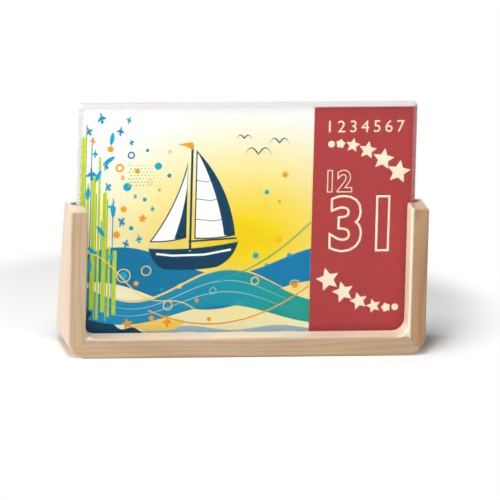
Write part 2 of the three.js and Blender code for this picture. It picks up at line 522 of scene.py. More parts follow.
def buildBlank(shape, low, high):
    innerX = high.x - shape["uprightWidth"] * mm
    railTop = shape["railHeight"] * mm
    blank = boxPiece("stand_blank", low, high)
    editPiece(blank)
    for place, normal in (
        ((-innerX, 0, 0), (1, 0, 0)),
        ((innerX, 0, 0), (1, 0, 0)),
        ((0, 0, railTop), (0, 0, 1)),
    ):
        bpy.ops.mesh.select_all(action="SELECT")
        bpy.ops.mesh.bisect(plane_co=place, plane_no=normal)

    def inOpening(face):
        middle = face.calc_center_median()
        return abs(middle.x) < innerX - hair and middle.z > railTop + hair

    selectIn(blank, "faces", inOpening)
    bpy.ops.mesh.delete(type="FACE")
    selectIn(blank, "edges", lambda edge: edge.is_boundary and not runsAlongY(edge))
    bpy.ops.mesh.bridge_edge_loops()
    bpy.ops.mesh.select_all(action="SELECT")
    bpy.ops.mesh.dissolve_limited(angle_limit=math.radians(1))

    def cornerEdge(x, z):
        def wanted(edge):
            a = edge.verts[0].co
            return runsAlongY(edge) and abs(abs(a.x) - x) < hair and abs(a.z - z) < hair

        return wanted

    for x, z, radius, steps in (
        (high.x, low.z, shape["outerCorner"], shape["cornerSteps"]),
        (innerX, railTop, shape["innerCorner"], shape["cornerSteps"]),
        (high.x, high.z, shape["topCorner"], shape["roundSteps"]),
        (innerX, high.z, shape["topCorner"], shape["roundSteps"]),
    ):
        selectIn(blank, "edges", cornerEdge(x, z))
        bpy.ops.mesh.bevel(offset=radius * mm, segments=steps, affect="EDGES")
    leaveEdit()
    return blank


def leanBack(blank, shape, low, high, topBack):
    # the back leans forward from just above the sanded edge at the foot to the top of the uprights
    foot = low.z + shape["leanFrom"] * mm
    for vertex in blank.data.vertices:
        if vertex.co.y > 0:
            rise = (vertex.co.z - foot) / (high.z - foot)
            vertex.co.y = high.y + (topBack - high.y) * rise


def cutGroove(blank, shape, sheetLow, sheetHigh, stackBack):
    side, end = shape["grooveSide"] * mm, shape["grooveEnd"] * mm
    low = Vector((sheetLow.x - end, sheetLow.y - side, sheetLow.z - shape["seatGap"] * mm))
    high = Vector((sheetHigh.x + end, stackBack + side, sheetHigh.z + shape["grooveRise"] * mm))
    cutter = boxPiece("groove_cutter", low, high)
    editPiece(cutter)

    def upright(edge):
        a, b = (v.co for v in edge.verts)
        return abs(a.z - b.z) > hair

    # the ends are half round, less a trace, so that the two rounds do not meet in one point
    radius = shape["grooveRound"] * (high.y - low.y)
    selectIn(cutter, "edges", upright)
    bpy.ops.mesh.bevel(offset=radius, segments=shape["cornerSteps"], affect="EDGES")
    leaveEdit()
    cutWith(blank, cutter)


def cutWith(blank, cutter):
    applyModifier(blank, "BOOLEAN", operation="DIFFERENCE", solver="EXACT", object=cutter)
    bpy.data.objects.remove(cutter)


def drillDowelHoles(blank, shape, across):
    # each hole runs square to its mitre, and is a little larger than its dowel all round
    for node in (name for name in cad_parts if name.endswith("dowel")):
        low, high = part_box(node)
        middle = (low + high) / 2
        radius = (high.y - low.y) / 2 + shape["dowelClearance"] * mm
        axis = Vector((math.copysign(across.x, middle.x * across.x), 0, across.z))
        # the box of a slanting rod is as wide as its length and its thickness together
        thick = (high.y - low.y) * abs(axis.z)
        length = (high.x - low.x - thick) / abs(axis.x) + 2 * shape["dowelClearance"] * mm
        deselectAll()
        bpy.ops.mesh.primitive_cylinder_add(
            vertices=shape["dowelSides"], radius=radius, depth=length, location=middle
        )
        cutter = bpy.context.object
        cutter.rotation_euler = axis.to_track_quat("Z", "Y").to_euler()
        applyPlace(cutter)
        cutWith(blank, cutter)


def cutMitre(blank, name, planes):
    # a copy of the blank, cut off at each plane; what the plane's normal points to goes
    makeActive(blank)
    bpy.ops.object.duplicate()
    piece = bpy.context.object
    piece.name = name
    for place, normal in planes:
        editPiece(piece)
        bpy.ops.mesh.select_all(action="SELECT")
        bpy.ops.mesh.bisect(plane_co=place, plane_no=normal, use_fill=True, clear_outer=True)
        leaveEdit()
    softenShading(piece, standShape["smoothBelow"])
    return piece


def buildStand():
    shape = standShape
    railLow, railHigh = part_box("bottom_rail")
    leftLow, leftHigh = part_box("left_upright")
    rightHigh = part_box("right_upright")[1]
    sheetLow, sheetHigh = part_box("clear_front_sheet")
    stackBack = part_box("clear_back_sheet")[1].y
    low = Vector((leftLow.x, railLow.y, 0))
    high = Vector((rightHigh.x, railHigh.y, leftHigh.z))
    blank = buildBlank(shape, low, high)
    topBack = stackBack + (shape["grooveSide"] + shape["rearWall"]) * mm
    leanBack(blank, shape, low, high, topBack)
    roundEdges(blank, shape["edgeRound"] * mm, shape["roundSteps"], shape["roundAbove"])
    cutGroove(blank, shape, sheetLow, sheetHigh, stackBack)
    along = Vector((-shape["uprightWidth"], 0, shape["railHeight"])).normalized()
    across = Vector((along.z, 0, -along.x))
    drillDowelHoles(blank, shape, across)
    corner = Vector((high.x, 0, 0))
    gap = across * shape["glueLine"] / 2 * mm

    def mirrored(v):
        return Vector((-v.x, v.y, v.z))

    rail = cutMitre(
        blank, "beech_bottom_rail", [(corner - gap, across), (mirrored(corner - gap), mirrored(across))]
    )
    left = cutMitre(blank, "beech_left_upright", [(mirrored(corner + gap), -mirrored(across))])
    right = cutMitre(blank, "beech_right_upright", [(corner + gap, -across)])
    bpy.data.objects.remove(blank)
    for piece, node in ((rail, "bottom_rail"), (left, "left_upright"), (right, "right_upright")):
        material = makeBeech("lacquered beech, " + node.replace("_", " "), **standWood[node])
        piece.data.materials.append(material)
        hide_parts(node)
        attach(piece, "frame")


buildStand()
print("the stand is cut and lacquered")


# Clear sheets: cast acrylic, in mm and degrees. The front one has a wide bevel, sanded to a satin
# finish, that catches the light and lets the print behind it glow through. The index is lower than
# acrylic's usual 1.49, because the sheet in the photo mirrors next to nothing of the room.
sheetLook = {
    "tint": "#FBFDFD",
    "ior": 1.16,
    "shadowTint": "#F3F4F4",
    "markLength": 12,
    "markWidth": 3,
    "markFrom": 0.45,
    "markFull": 0.8,
    "markRoughness": 0.03,
    "satinTint": "#E2DEE0",
    "satinIor": 1.4,
    "satinGrit": 0.5,
    "satinSmoothest": 0.2,
    "satinRoughest": 0.36,
    "satinClear": 0.76,
    # the top of the bevel is milky all through: painted light for the top lit from above
    "paintedTopClear": 0,
    "paintedTopFrom": -0.3,
    "paintedTopFull": 0.8,
    "frontCorner": 2.2,
    "cornerSteps": 8,
    "bevelWidth": 2.6,
    "bevelDepth": 1.5,
    "bevelCorner": 0.5,
    "frontArris": 0.12,
    "backCorner": 1.5,
    "backArris": 0.2,
    "arrisSteps": 2,
    "arrisAbove": 25,
    "smoothBelow": 20,
}


def lightPasses(tree, shader):
    # a lamp's light goes straight through and loses next to nothing, so that the print behind is lit
    ray = addNode(tree, "LightPath")
    clear = addNode(tree, "BsdfTransparent", {"Color": linearColour(sheetLook["shadowTint"])})
    mix = addNode(tree, "MixShader", {
        0: ray.outputs["Is Shadow Ray"], 1: shader.outputs[0], 2: clear.outputs[0],
    })
    setNode(tree.nodes["Material Output"], {"Surface": mix.outputs[0]})


def makeAcrylic():
    # cast and polished: as good as invisible, with faint wipe marks that only roughen its shine
    look = sheetLook
    material, tree, shader = newMaterial("clear cast acrylic")
    place = addNode(tree, "TexCoord").outputs["Object"]
    scale = (1 / (look["markLength"] * mm), 0, 1 / (look["markWidth"] * mm))
    stretched = addNode(tree, "Mapping", {"Scale": scale, "Vector": place}).outputs["Vector"]
    marks = addNode(tree, "TexNoise", {"Scale": 1, "Detail": 3, "Vector": stretched})
    rough = addNode(tree, "MapRange", {
        "From Min": look["markFrom"],
        "From Max": look["markFull"],
        "To Max": look["markRoughness"],
        "Value": marks.outputs["Fac"],
    })
    setNode(shader, {
        "Base Color": linearColour(look["tint"]),
        "IOR": look["ior"],
        "Transmission Weight": 1,
        "Roughness": rough.outputs["Result"],
    })
    lightPasses(tree, shader)
    return material


def makeSatin():
    # sanded acrylic: part clear, part milky, and milky all through along the top, as a painted
    # highlight for the top bevel lit from above. The grit is drawn coarser than a real one, to show.
    look = sheetLook
    material, tree, shader = newMaterial("acrylic with a satin edge")
    place = addNode(tree, "TexCoord").outputs["Object"]
    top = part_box("clear_front_sheet")[1].z - look["bevelWidth"] * mm
    rise = addNode(tree, "SeparateXYZ", {"Vector": place})
    clear = addNode(tree, "MapRange", {
        "From Min": top + look["paintedTopFrom"] * mm,
        "From Max": top + look["paintedTopFull"] * mm,
        "To Min": look["satinClear"],
        "To Max": look["paintedTopClear"],
        "Value": rise.outputs["Z"],
    })
    grit = addNode(tree, "TexNoise", {
        "Scale": 1 / (look["satinGrit"] * mm), "Detail": 2, "Vector": place,
    })
    rough = addNode(tree, "MapRange", {
        "To Min": look["satinSmoothest"],
        "To Max": look["satinRoughest"],
        "Value": grit.outputs["Fac"],
    })
    setNode(shader, {
        "Base Color": linearColour(look["satinTint"]),
        "IOR": look["satinIor"],
        "Transmission Weight": clear.outputs["Result"],
        "Roughness": rough.outputs["Result"],
    })
    lightPasses(tree, shader)
    return material


def buildPlate(name, node, corner, steps):
    low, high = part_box(node)
    plate = boxPiece(name, low, high)
    editPiece(plate)
    selectIn(plate, "edges", runsAlongY)
    bpy.ops.mesh.bevel(offset=corner * mm, segments=steps, affect="EDGES")
    leaveEdit()
    return plate


def bevelFront(plate, node):
    # the outline of the front face moves back, and the face inside it gets sharper corners of its own
    look = sheetLook
    low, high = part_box(node)
    middle, half = (low + high) / 2, (high - low) / 2
    editPiece(plate)
    selectIn(plate, "faces", lambda face: face.normal.y < -0.99)
    # any small inset serves, because the new points are then placed one by one
    bpy.ops.mesh.inset(thickness=0.1 * mm)
    mesh = bmesh.from_edit_mesh(plate.data)
    flat = {v for face in mesh.faces if face.select for v in face.verts}
    outer = look["frontCorner"] * mm
    inner = (look["bevelWidth"] + look["bevelCorner"]) * mm
    for vertex in mesh.verts:
        if vertex in flat:
            x, z = vertex.co.x - middle.x, vertex.co.z - middle.z
            sideX, sideZ = math.copysign(1, x), math.copysign(1, z)
            out = Vector((x - sideX * (half.x - outer), z - sideZ * (half.z - outer))).normalized()
            vertex.co.x = middle.x + sideX * (half.x - inner) + out.x * look["bevelCorner"] * mm
            vertex.co.z = middle.z + sideZ * (half.z - inner) + out.y * look["bevelCorner"] * mm
        elif abs(vertex.co.y - low.y) < hair:
            vertex.co.y += look["bevelDepth"] * mm
    bmesh.update_edit_mesh(plate.data)
    leaveEdit()


def finishSheet(sheet, node, arris, materials):
    roundEdges(sheet, arris * mm, sheetLook["arrisSteps"], sheetLook["arrisAbove"])
    softenShading(sheet, sheetLook["smoothBelow"])
    for material in materials:
        sheet.data.materials.append(material)
    for face in sheet.data.polygons:
        # front and back are clear, and all round them is the last material
        face.material_index = 0 if abs(face.normal.y) > 0.95 else len(materials) - 1
    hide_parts(node)
    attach(sheet, node)


def buildSheets():
    look, steps = sheetLook, sheetLook["cornerSteps"]
    acrylic, satin = makeAcrylic(), makeSatin()
    front = buildPlate("acrylic_front_sheet", "clear_front_sheet", look["frontCorner"], steps)
    bevelFront(front, "clear_front_sheet")
    finishSheet(front, "clear_front_sheet", look["frontArris"], [acrylic, satin])
    back = buildPlate("acrylic_back_sheet", "clear_back_sheet", look["backCorner"], steps)
    finishSheet(back, "clear_back_sheet", look["backArris"], [acrylic])


buildSheets()
print("the clear sheets are polished")


# Cards: coated board of 250 g/m2, smooth and half matt, with the printing ink on top as thin films.
# Places on a card are in mm from its lower left corner, as seen from the front.
cardLook = {
    "corner": 1.5,
    "cornerSteps": 5,
    "smoothBelow": 35,
    "boardTint": "#FAF9F5",
    "boardFibre": 0.6,
    "boardMottle": 0.05,
    "boardRoughness": (0.4, 0.52),
    "inkFilm": 0.008,
    "inkStep": 0.012,
    "inkMottle": 2.5,
    "inkLevels": (0.94, 1.04),
    "inkRoughness": (0.32, 0.42),
    "shine": 0.06,
    "weld": 0.002,
    "digitShare": 0.7,
}


def makeBoard(name, colourOf=None):
    # the board's fibres give a faint mottle, drawn coarser than real to show; colourOf(tree, place) may
    # return a socket with the colour of a print that covers the whole board
    look = cardLook
    material, tree, shader = newMaterial(name)
    place = addNode(tree, "TexCoord").outputs["Object"]
    fibres = addNode(tree, "TexNoise", {
        "Scale": 1 / (look["boardFibre"] * mm), "Detail": 3, "Vector": place,
    })
    base = colourOf(tree, place) if colourOf else linearColour(look["boardTint"])
    mottled = addNode(tree, "Mix", {
        "data_type": "RGBA",
        "blend_type": "MULTIPLY",
        0: look["boardMottle"],
        6: base,
        7: fibres.outputs["Color"],
    })
    smooth, rough = look["boardRoughness"]
    grain = addNode(tree, "MapRange", {
        "To Min": smooth, "To Max": rough, "Value": fibres.outputs["Fac"],
    })
    setNode(shader, {
        "Base Color": mottled.outputs[2],
        "Roughness": grain.outputs["Result"],
        "Specular IOR Level": look["shine"],
    })
    return material


def makeInk(name, hexCode, farHex=None, near=0, far=1):
    # offset ink: even, with a faint mottle; with farHex it runs from one colour to another, from near
    # to far mm along the card
    look = cardLook
    material, tree, shader = newMaterial(name)
    place = addNode(tree, "TexCoord").outputs["Object"]
    mottle = addNode(tree, "TexNoise", {
        "Scale": 1 / (look["inkMottle"] * mm), "Detail": 2, "Vector": place,
    }).outputs["Fac"]
    faint, full = look["inkLevels"]
    level = addNode(tree, "MapRange", {"To Min": faint, "To Max": full, "Value": mottle})
    tint = linearColour(hexCode)
    if farHex:
        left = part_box("cover_card")[0].x
        split = addNode(tree, "SeparateXYZ", {"Vector": place})
        across = addNode(tree, "MapRange", {
            "From Min": left + near * mm, "From Max": left + far * mm, "Value": split.outputs["X"],
        })
        tint = addNode(tree, "Mix", {
            "data_type": "RGBA", 0: across.outputs["Result"], 6: tint, 7: linearColour(farHex),
        }).outputs[2]
    shaded = addNode(tree, "Mix", {
        "data_type": "RGBA",
        "blend_type": "MULTIPLY",
        0: 1,
        6: tint,
        7: level.outputs["Result"],
    })
    smooth, rough = look["inkRoughness"]
    sheen = addNode(tree, "MapRange", {"To Min": smooth, "To Max": rough, "Value": mottle})
    setNode(shader, {
        "Base Color": shaded.outputs[2],
        "Roughness": sheen.outputs["Result"],
        "Specular IOR Level": look["shine"],
    })
    return material


# Outlines of printed motifs, as lists of (u, v)
def curvePath(us, height):
    return [(u, height(u)) for u in us]


def spread(start, end, steps):
    return [start + (end - start) * i / steps for i in range(steps + 1)]


def circleOutline(u, v, radius, steps=32):
    turns = [2 * math.pi * i / steps for i in range(steps)]
    return [(u + radius * math.cos(a), v + radius * math.sin(a)) for a in turns]


def starOutline(u, v, radius, lean=0, waist=0.47, points=5):
    # lean is in degrees, clockwise from upright
    outline = []
    for i in range(2 * points):
        angle = math.radians(90 - lean) + math.pi * i / points
        reach = radius if i % 2 == 0 else radius * waist
        outline.append((u + reach * math.cos(angle), v + reach * math.sin(angle)))
    return outline


def roundedOutline(left, low, right, high, radius, steps=4):
    outline = []
    for u, v, start in (
        (right - radius, low + radius, -90),
        (right - radius, high - radius, 0),
        (left + radius, high - radius, 90),
        (left + radius, low + radius, 180),
    ):
        for i in range(steps + 1):
            angle = math.radians(start + 90 * i / steps)
            outline.append((u + radius * math.cos(angle), v + radius * math.sin(angle)))
    return outline


def bandOutline(top, bottom, left, right, steps=48):
    us = spread(left, right, steps)
    return curvePath(us, top) + curvePath(reversed(us), bottom)


def bowedOutline(corners, steps=10):
    # corners are (u, v, bow): the side to the next corner bows out by bow mm at its middle
    outline = []
    for (u, v, bow), (nextU, nextV, _) in zip(corners, corners[1:] + corners[:1]):
        length = math.hypot(nextU - u, nextV - v)
        outU, outV = (nextV - v) / length, (u - nextU) / length
        count = steps if bow else 1
        for i in range(count):
            t = i / count
            rise = 4 * t * (1 - t) * bow
            outline.append((u + (nextU - u) * t + outU * rise, v + (nextV - v) * t + outV * rise))
    return outline


def strokeOutline(path, width, taper=False):
    # a line of that width along the path, pointed at both ends with taper
    last = len(path) - 1
    left, right = [], []
    for i, (u, v) in enumerate(path):
        before, after = path[max(i - 1, 0)], path[min(i + 1, last)]
        du, dv = after[0] - before[0], after[1] - before[1]
        length = math.hypot(du, dv)
        share = max(math.sin(math.pi * i / last), 0.06) if taper else 1
        half = width / 2 * share
        left.append((u - dv / length * half, v + du / length * half))
        right.append((u + dv / length * half, v - du / length * half))
    return [left + right[::-1]]


def shrunkOutline(outline, by):
    # the outline drawn in by that much all round, for one that runs counterclockwise
    count = len(outline)
    result = []
    for i, (u, v) in enumerate(outline):
        beforeU, beforeV = outline[i - 1]
        afterU, afterV = outline[(i + 1) % count]
        inLength, outLength = math.hypot(u - beforeU, v - beforeV), math.hypot(afterU - u, afterV - v)
        normals = (
            ((beforeV - v) / inLength, (u - beforeU) / inLength),
            ((v - afterV) / outLength, (afterU - u) / outLength),
        )
        sumU, sumV = normals[0][0] + normals[1][0], normals[0][1] + normals[1][1]
        share = 2 * by / max(sumU**2 + sumV**2, 0.25)
        result.append((u + sumU * share, v + sumV * share))
    return result


def placeOnCard(piece, node, layer):
    # turns a film that lies flat up onto the front of its card
    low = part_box(node)[0]
    lift = (layer * cardLook["inkStep"] - cardLook["inkFilm"] / 2) * mm
    piece.rotation_euler = (math.radians(90), 0, 0)
    piece.location = (low.x, low.y - lift, low.z)
    applyPlace(piece)


def closeFilm(piece):
    editPiece(piece)
    bpy.ops.mesh.select_all(action="SELECT")
    bpy.ops.mesh.remove_doubles(threshold=cardLook["weld"] * mm)
    bpy.ops.mesh.normals_make_consistent(inside=False)
    leaveEdit()


def printShapes(node, layer, ink, outlines):
    curve = bpy.data.curves.new("film", "CURVE")
    curve.dimensions = "2D"
    curve.fill_mode = "BOTH"
    curve.extrude = cardLook["inkFilm"] / 2 * mm
    for outline in outlines:
        spline = curve.splines.new("POLY")
        spline.points.add(len(outline) - 1)
        for point, (u, v) in zip(spline.points, outline):
            point.co = (u * mm, v * mm, 0, 1)
        spline.use_cyclic_u = True
    film = bpy.data.objects.new("film", curve)
    scene.collection.objects.link(film)
    makeActive(film)
    bpy.ops.object.convert(target="MESH")
    film = bpy.context.object
    closeFilm(film)
    placeOnCard(film, node, layer)
    coverWith(film, ink)
    return film


def numberFilm(text, size, steps, bolder=0, outlined=0):
    # size is the height of a digit in mm; an outlined number is drawn as a line of that width
    deselectAll()
    bpy.ops.object.text_add(location=(0, 0, 0))
    film = bpy.context.object
    film.data.body = text
    film.data.align_x = "CENTER"
    film.data.align_y = "CENTER"
    film.data.size = size / cardLook["digitShare"] * mm
    film.data.resolution_u = steps
    film.data.offset = bolder * mm
    if outlined:
        film.data.fill_mode = "NONE"
        film.data.bevel_depth = outlined / 2 * mm
        film.data.bevel_resolution = 1
    else:
        film.data.extrude = cardLook["inkFilm"] / 2 * mm
    bpy.ops.object.convert(target="MESH")
    film = bpy.context.object
    if outlined:
        film.scale.z = cardLook["inkFilm"] / outlined
        applyPlace(film)
    closeFilm(film)
    return film


def printNumber(node, layer, ink, text, u, v, size, **style):
    film = numberFilm(text, size, 4, **style)
    middle = sum((Vector(corner) for corner in film.bound_box), Vector()) / 8
    film.data.transform(Matrix.Translation((u * mm - middle.x, v * mm - middle.y, 0)))
    placeOnCard(film, node, layer)
    coverWith(film, ink)
    return film


def finishPrint(name, node, films):
    piece = joinPieces(name, films)
    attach(piece, node)


def buildCard(name, node, material):
    card = buildPlate(name, node, cardLook["corner"], cardLook["cornerSteps"])
    softenShading(card, cardLook["smoothBelow"])
    card.data.materials.append(material)
    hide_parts(node)
    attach(card, node)


# Cover: a picture of a boat at sea under a sunset glow, and beside it a red panel
coverLook = {
    "panelShare": 0.3027,
    "glow": (106, 63),
    "glowReach": (120, 80),
    "glowSteps": (
        (0.0, "#F1CC00"),
        (0.15, "#F2D110"),
        (0.34, "#F4D75D"),
        (0.62, "#F4E4A6"),
        (1.0, "#F6F5F1"),
    ),
}

inks = {
    "red": makeInk("offset ink, brick red", "#AC3D3D"),
    "cream": makeInk("offset ink, cream", "#FDE6CC"),
    "white": makeInk("offset ink, white", "#FDFDFB"),
    "navy": makeInk("offset ink, navy", "#0A3D5A"),
    "blue": makeInk("offset ink, blue to sea green", "#06749C", "#0778AA", 0, 147),
    "teal": makeInk("offset ink, aqua to green", "#128AB4", "#1A9C88", 55, 147),
    "aqua": makeInk("offset ink, aqua", "#0CA2C4"),
    "pine": makeInk("offset ink, pine green", "#3A9E6C"),
    "lime": makeInk("offset ink, lime", "#B9CD14"),
    "olive": makeInk("offset ink, olive", "#9DB63A"),
    "orange": makeInk("offset ink, orange", "#EE9A10"),
    "yellow": makeInk("offset ink, yellow", "#F4CE62"),
    "mist": makeInk("offset ink, blue grey", "#A3BCC4"),
    "grey": makeInk("offset ink, dark grey", "#4A4F55"),
}


def glowColour(tree, place):
    # a sunset glow: deep yellow in the middle, and nearly white at the edges of the picture
    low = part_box("cover_card")[0]
    (u, v), (reachU, reachV) = coverLook["glow"], coverLook["glowReach"]
    centred = addNode(tree, "Mapping", {
        "vector_type": "TEXTURE",
        "Location": (low.x + u * mm, 0, low.z + v * mm),
        "Scale": (reachU * mm, 1, reachV * mm),
        "Vector": place,
    })
    away = addNode(tree, "VectorMath", {"operation": "LENGTH", 0: centred.outputs["Vector"]})
    glow = addNode(tree, "ValToRGB", {"Fac": away.outputs["Value"]})
    ramp, stops = glow.color_ramp, coverLook["glowSteps"]
    for element, (position, colour) in zip(ramp.elements, (stops[0], stops[-1])):
        element.position, element.color = position, linearColour(colour)
    for position, colour in stops[1:-1]:
        ramp.elements.new(position).color = linearColour(colour)
    return glow.outputs["Color"]


def printOnCover(name, rows):
    # rows are (layer, ink, outlines), and a higher layer lies over a lower one
    films = [printShapes("cover_card", layer, inks[kind], outlines) for layer, kind, outlines in rows]
    finishPrint(name, "cover_card", films)


# The red panel: a row of small numbers, two outlined counts, and the two trails of stars
panelLook = {
    "titleRow": {"numbers": "1234567", "left": 156.1, "pitch": 7.4, "v": 133.1, "size": 7.5},
    "counts": (
        {"text": "12", "u": 163.3, "v": 98.6, "size": 12.9, "outlined": 0.6, "bolder": 0.5},
        {"text": "31", "u": 176.3, "v": 71.6, "size": 31.9, "outlined": 1.4, "bolder": 1.5},
    ),
    # along the trail: place, radius, and how deep the star is cut in; the first one is a round dot
    "trail": (
        (157.5, 2.1, 0),
        (163.2, 3.1, 0.72),
        (170.9, 4.7, 0.48),
        (180.2, 5.8, 0.48),
        (190.1, 7.0, 0.48),
        (199.9, 7.6, 0.48),
    ),
    "trailTop": (161.8, 122.2),
    "trailFall": 0.0124,
    "trailMiddle": 70.3,
    "leans": (9, -15),
}


def printPanel():
    look, node = panelLook, "cover_card"
    low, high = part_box(node)
    width, height = (high.x - low.x) / mm, (high.z - low.z) / mm
    left, corner = width * (1 - coverLook["panelShare"]), cardLook["corner"]
    panel = roundedOutline(left, 0, width, height, corner)
    # on its left the panel meets the picture without round corners
    square = [(left, 0), (left + corner, 0), (left + corner, height), (left, height)]
    printOnCover("cover_panel", ((1, "red", [panel]), (2, "red", [square])))

    row = look["titleRow"]
    films = []
    for i, digit in enumerate(row["numbers"]):
        u = row["left"] + i * row["pitch"]
        films.append(printNumber(node, 3, inks["cream"], digit, u, row["v"], row["size"]))
    for count in look["counts"]:
        films.append(printNumber(node, 3, inks["cream"], **count))
    finishPrint("cover_numbers", node, films)

    # the lower trail is the upper one, turned half round
    topU, topV = look["trailTop"]
    upper = []
    for u, radius, waist in look["trail"]:
        upper.append((u, topV - look["trailFall"] * (u - topU) ** 2, radius, waist))
    middleU, middleV = (upper[0][0] + upper[-1][0]) / 2, look["trailMiddle"]
    lower = [(2 * middleU - u, 2 * middleV - v, radius, waist) for u, v, radius, waist in upper]
    outlines = []
    for trail, lean in zip((upper, lower), look["leans"]):
        for u, v, radius, waist in trail:
            outlines.append(
                starOutline(u, v, radius, lean, waist) if waist else circleOutline(u, v, radius)
            )
    printOnCover("cover_stars", ((3, "cream", outlines),))


def pictureWidth():
    low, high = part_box("cover_card")
    return (1 - coverLook["panelShare"]) * (high.x - low.x) / mm


def swell(level, height, length, shift):
    return lambda u: level + height * math.sin(2 * math.pi * (u / length + shift))


# The sea: each wave line has a level, height and length in mm, and a shift in turns
seaLook = {
    "farTop": (49, 9, 132, 0.04),
    "farLow": (27, 9, 140, 0.16),
    "nearTop": (33, 10, 118, 0.44),
    "nearLow": (15, 6, 124, 0.5),
    "shadeTop": (6.5, 1.5, 56.549, 0),
    "shadeLow": (3.6, 0.6, 31.416, 0),
    "shadeLeft": 38,
    "crestRise": 0.9,
    "crestLine": 1.3,
    "crestEnds": 0.5,
    "currents": (0.3, 0.62),
    "currentLine": 0.5,
    "currentEnds": (6, 4),
    "steps": 40,
}


def printSea():
    look, edge = seaLook, pictureWidth()
    waves = ("farTop", "farLow", "nearTop", "nearLow", "shadeTop", "shadeLow")
    farTop, farLow, nearTop, nearLow, shadeTop, shadeLow = (swell(*look[name]) for name in waves)
    crestUs = spread(look["crestEnds"], edge - look["crestEnds"], look["steps"])
    crest = curvePath(crestUs, lambda u: nearTop(u) + look["crestRise"])
    currentUs = spread(look["currentEnds"][0], edge - look["currentEnds"][1], look["steps"])
    currents = []
    for share in look["currents"]:
        path = curvePath(currentUs, lambda u: nearTop(u) * (1 - share) + nearLow(u) * share)
        currents += strokeOutline(path, look["currentLine"], taper=True)
    rows = (
        (2, "blue", [bandOutline(farTop, farLow, 0, edge)]),
        (5, "teal", [bandOutline(nearTop, nearLow, 0, edge)]),
        (6, "yellow", strokeOutline(crest, look["crestLine"], taper=True)),
        (6, "mist", currents),
        (1, "mist", [bandOutline(shadeTop, shadeLow, look["shadeLeft"], edge)]),
    )
    printOnCover("cover_sea", rows)


# The boat: corners as (u, v, bow), the mast as left, low, right, high and corner, the lines as (u, v)
boatLook = {
    "hull": ((45, 57, 1.5), (54, 44, 1.2), (88, 45, 2.5), (101, 61, -2)),
    "mainsail": ((73.5, 63, 1), (99, 65, 5), (73.5, 119, 0)),
    "jib": ((45.5, 61, 1), (68.5, 63.5, 0), (68.5, 112, -3)),
    "pennant": ((71, 119, 0.6), (71, 124, 0), (61.5, 122.5, -0.6)),
    "mainShade": ((92, 65.2, 0.4), (99, 65, 5), (73.5, 119, -2.6)),
    "jibShade": ((61, 63, 0.4), (68.5, 63.5, 0), (68.5, 100, -1.2)),
    "mast": (70.3, 55, 71.7, 123, 0.65),
    "boom": ((70, 61.3), (100, 63.2)),
    "boomLine": 1.1,
    "stripe": ((50, 53.6), (60, 52.4), (80, 52.9), (96.5, 56)),
    "stripeLine": 1.3,
    "sailLine": 0.8,
    # seams across the mainsail, at these shares of its height
    "seams": (0.22, 0.45, 0.66),
    "seamStart": (74, 63),
    "sailReach": (25, 56),
    "sailBow": 4,
    "seamSag": 1.2,
    "seamLift": 0.6,
    "seamLine": 0.45,
}


def printBoat():
    look = boatLook
    kinds = ("hull", "mainsail", "jib", "pennant", "mainShade", "jibShade")
    hull, mainsail, jib, pennant, mainShade, jibShade = (bowedOutline(look[kind]) for kind in kinds)
    left, foot = look["seamStart"]
    width, height = look["sailReach"]
    lines = []
    for share in look["seams"]:
        v = foot + height * share
        reach = width * (1 - share) + look["sailBow"] * math.sin(math.pi * share)
        sag, lift = v - look["seamSag"], v + look["seamLift"]
        path = ((left, v), (left + reach / 2, sag), (left + reach, lift))
        lines += strokeOutline(path, look["seamLine"])
    lines += strokeOutline(look["boom"], look["boomLine"])
    inset = look["sailLine"]
    rows = (
        (3, "navy", [hull, roundedOutline(*look["mast"])]),
        (3, "navy", [mainsail]),
        (3, "navy", [jib]),
        (4, "white", [shrunkOutline(mainsail, inset), shrunkOutline(jib, inset)]),
        # the shaded cloth lies along the free edge of each sail
        (5, "navy", [mainShade]),
        (5, "navy", [jibShade]),
        (5, "navy", lines),
        (4, "orange", [pennant]),
        (4, "white", strokeOutline(look["stripe"], look["stripeLine"])),
    )
    printOnCover("cover_boat", rows)


# The reeds: stalks and leaves of uneven height on a mound, in a pattern that never repeats exactly
reedLook = {
    "moundFoot": 0.5,
    "moundLevel": 4.3,
    "moundHeight": 17,
    "moundReach": 23,
    "moundRipple": (1.6, 2.6),
    "moundRight": 44,
    "stalks": 13,
    "stalkLeft": 3.2,
    "stalkPitch": 1.75,
    "stalkWidths": (2.4, 0.7, 1.4, 0.6),
    "stalkInks": ("lime", "olive", "lime", "teal"),
    "stalkTop": 128,
    "stalkFall": 5.2,
    "stalkSwing": (19, 2.4),
    "footLevel": 15,
    "footSwing": (4, 1.7),
    "stalkRound": 0.45,
    "leaves": 9,
    "leafLeft": 4,
    "leafPitch": 2.3,
    "leafLow": 30,
    "leafRise": 11.5,
    "leafLean": (62, 30),
    "leafLength": 9,
    "leafBows": (1.5, 1.3),
    "leafSteps": 8,
    "leafMargin": 0.8,
}


